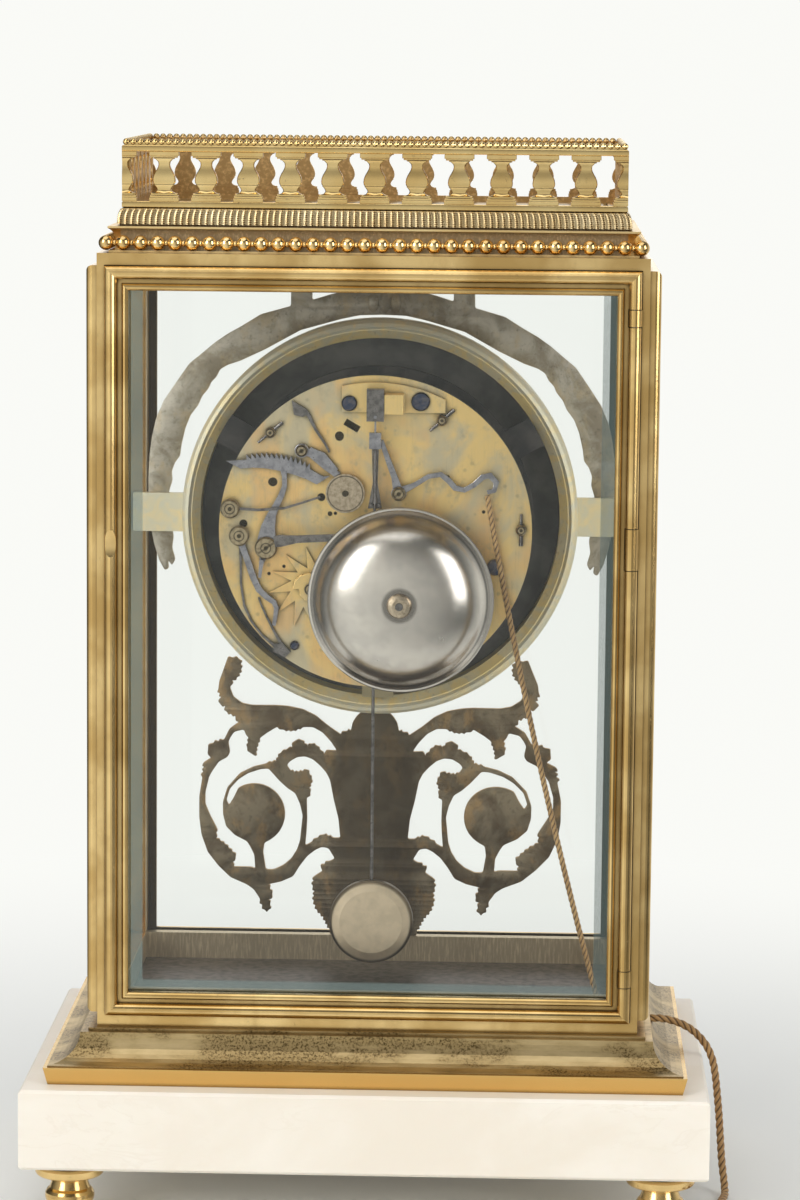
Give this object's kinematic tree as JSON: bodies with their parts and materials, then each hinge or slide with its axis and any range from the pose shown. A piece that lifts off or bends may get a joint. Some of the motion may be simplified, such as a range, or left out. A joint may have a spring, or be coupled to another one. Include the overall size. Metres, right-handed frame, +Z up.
{
  "type": "table clock",
  "caption": "Four-glass gilt table clock on a marble slab, with two hinged glazed doors, a pendulum, a bell, rack striking work and a pull cord.",
  "frame": {"origin": "bottom centre of the feet, in the middle of the marble slab", "axes": "+Z up; the dial and the front door face -Y, the rear door faces +Y; the rear door's hinge and the pull cord are on the -X side"},
  "size_m": [0.2995, 0.1622, 0.3974],
  "materials": {
    "gilt": "polished gilding, browned in the grooves",
    "matt_gilt": "matt speckled gilding",
    "plate_brass": "brushed brass with stains",
    "bronze": "dark patinated casting",
    "steel": "grey polished steel",
    "blued_steel": "blued",
    "bell_metal": "polished silver-grey",
    "nickel": "satin warm nickel",
    "enamel": "white enamel",
    "marble": "honed cream marble",
    "glass": "clear, bevelled edges",
    "silk": "twisted gold-brown silk"
  },
  "bodies": {
    "case": {"feet": "gilt", "marble_base": "marble", "plinth": "matt_gilt", "case_floor": "matt_gilt", "case_frame": "gilt", "side_frames": "gilt", "side_glasses": "glass", "case_roof": "matt_gilt", "cornice": "matt_gilt", "cornice_beads": "gilt", "reeded_moulding": "gilt", "gallery": "gilt", "rear_knuckles": "gilt", "front_knuckles": "gilt", "drum_ring": "plate_brass", "mounting_lugs": "plate_brass", "bezel": "gilt", "dial": "enamel", "garland": "bronze", "scroll_ornament": "bronze", "front_plate": "plate_brass", "back_plate": "plate_brass", "pillars": "plate_brass", "pillar_pins": "steel", "plate_studs": "steel", "plate_screws": "blued_steel", "leaf_springs": "blued_steel", "suspension_cock": "plate_brass", "suspension_block": "blued_steel", "bell_stand": "steel", "bell": "bell_metal", "bell_nut": "plate_brass", "pull_cord": "silk", "cord_coil": "silk", "cord_knot": "silk"},
    "rear_door": {"rear_door_frame": "gilt", "rear_door_glass": "glass", "rear_hinge_pins": "steel", "rear_catch": "gilt"},
    "front_door": {"front_door_frame": "gilt", "front_door_glass": "glass", "front_hinge_pins": "steel", "front_catch": "gilt"},
    "pendulum": {"suspension_spring": "steel", "pendulum_rod": "steel", "pendulum_bob": "nickel"},
    "crutch_body": {"crutch": "steel"},
    "minute_body": {"centre_arbor": "plate_brass", "minute_hand": "gilt"},
    "hour_body": {"hour_hand": "gilt"},
    "going_body": {"going_barrel": "plate_brass"},
    "strike_body": {"strike_barrel": "plate_brass"},
    "repeat_body": {"repeat_lever": "steel"},
    "cord_body": {"cord_run": "silk"},
    "rack_body": {"rack": "steel"},
    "hook_body": {"rack_hook": "steel"},
    "gathering_body": {"gathering_disc": "plate_brass"},
    "star_body": {"star_wheel": "plate_brass"},
    "jumper_body": {"jumper": "steel"},
    "hammer_body": {"hammer": "steel"}
  },
  "joints": [
    {"name": "rear_door_hinge", "type": "hinge", "parent": "case", "child": "rear_door", "pos_m": [-0.0947, 0.0568, 0.2133], "axis": [0, 0, 1], "range_deg": [0, 95]},
    {"name": "front_door_hinge", "type": "hinge", "parent": "case", "child": "front_door", "pos_m": [0.0947, -0.0568, 0.2133], "axis": [0, 0, 1], "range_deg": [0, 95]},
    {"name": "pendulum_swing", "type": "hinge", "parent": "case", "child": "pendulum", "pos_m": [0, 0.0196, 0.295], "axis": [0, 1, 0], "range_deg": [-4, 4]},
    {"name": "crutch_swing", "type": "hinge", "parent": "case", "child": "crutch_body", "pos_m": [0, 0.012, 0.284], "axis": [0, 1, 0], "range_deg": [-7, 7]},
    {"name": "minute_turn", "type": "hinge", "parent": "case", "child": "minute_body", "pos_m": [0, -0.046, 0.251], "axis": [0, 1, 0], "continuous": true},
    {"name": "hour_turn", "type": "hinge", "parent": "case", "child": "hour_body", "pos_m": [0, -0.045, 0.251], "axis": [0, 1, 0], "continuous": true},
    {"name": "going_turn", "type": "hinge", "parent": "case", "child": "going_body", "pos_m": [0.0195, -0.01, 0.236], "axis": [0, 1, 0], "continuous": true},
    {"name": "strike_turn", "type": "hinge", "parent": "case", "child": "strike_body", "pos_m": [-0.0195, -0.01, 0.236], "axis": [0, 1, 0], "continuous": true},
    {"name": "repeat_lever_pull", "type": "hinge", "parent": "case", "child": "repeat_body", "pos_m": [-0.0088, 0.0154, 0.2659], "axis": [0, -1, 0], "range_deg": [0, 12]},
    {"name": "cord_pull", "type": "slide", "parent": "case", "child": "cord_body", "axis": [-0.2247, -0.0149, -0.9743], "range_m": [0, 0.0072]},
    {"name": "rack_swing", "type": "hinge", "parent": "case", "child": "rack_body", "pos_m": [0.0408, 0.0134, 0.2447], "axis": [0, 1, 0], "range_deg": [0, 20]},
    {"name": "rack_hook_lift", "type": "hinge", "parent": "case", "child": "hook_body", "pos_m": [0.0277, 0.0134, 0.2814], "axis": [0, 1, 0], "range_deg": [0, 8]},
    {"name": "gathering_turn", "type": "hinge", "parent": "case", "child": "gathering_body", "pos_m": [0.0112, 0.012, 0.2657], "axis": [0, 1, 0], "continuous": true},
    {"name": "star_turn", "type": "hinge", "parent": "case", "child": "star_body", "pos_m": [0.024, 0.013, 0.2295], "axis": [0, 1, 0], "continuous": true},
    {"name": "jumper_swing", "type": "hinge", "parent": "case", "child": "jumper_body", "pos_m": [0.0508, 0.0144, 0.2493], "axis": [0, -1, 0], "range_deg": [0, 4]},
    {"name": "hammer_swing", "type": "hinge", "parent": "case", "child": "hammer_body", "pos_m": [0.0348, 0.02, 0.2484], "axis": [0, -1, 0], "range_deg": [0, 8]}
  ],
  "couplings": [
    {"joint": "crutch_swing", "follows": "pendulum_swing", "ratio": 1.5},
    {"joint": "hour_turn", "follows": "minute_turn", "ratio": 0.083333},
    {"joint": "star_turn", "follows": "minute_turn", "ratio": -0.083333},
    {"joint": "cord_pull", "follows": "repeat_lever_pull", "m_per_rad": 0.034}
  ]
}
